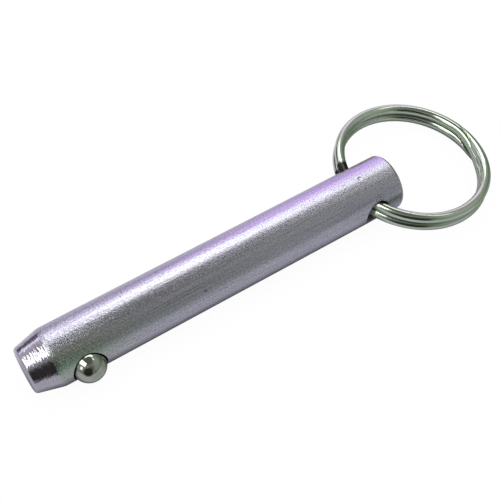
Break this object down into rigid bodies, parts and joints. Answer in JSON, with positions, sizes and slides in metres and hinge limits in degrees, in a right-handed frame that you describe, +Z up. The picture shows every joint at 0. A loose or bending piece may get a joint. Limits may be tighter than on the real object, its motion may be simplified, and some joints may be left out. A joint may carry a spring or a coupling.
{
  "type": "hitch pin lock",
  "caption": "Ball-detent hitch pin: a plain round steel shank with a turned conical tip, a sprung retaining ball near the tip and a two-turn split ring through a cross hole at the head.",
  "frame": {"origin": "on the shank's axis, in the middle of the full-diameter grip between the detent ball and the ring's cross hole", "axes": "+X along the shank from the conical tip to the head and its ring, -Y the side on which the detent ball stands out, +Z up when the pin lies on a flat surface with its ring"},
  "size_m": [0.1149, 0.036, 0.0126],
  "materials": {
    "zinc_plated_steel": "satin bright zinc with fine lengthwise drawn lines and a faint violet sheen",
    "polished_ball_steel": "polished",
    "spring_steel": "plain drawn spring wire, lightly oiled",
    "nickel_plated_wire": "bright nickel plate"
  },
  "bodies": {
    "pin": {"shank": "zinc_plated_steel", "detent_spring": "spring_steel"},
    "ball": {"detent_ball": "polished_ball_steel"},
    "ring": {"split_ring": "nickel_plated_wire"}
  },
  "joints": [
    {"name": "detent_press", "type": "slide", "parent": "pin", "child": "ball", "axis": [0, 1, 0], "range_m": [0, 0.0027], "stiffness_N_per_m": 1060, "deforming": ["detent_spring"]},
    {"name": "ring_swing", "type": "hinge", "parent": "pin", "child": "ring", "pos_m": [0.0347, 0, 0], "axis": [0, 1, 0], "range_deg": [-171, 157]}
  ]
}
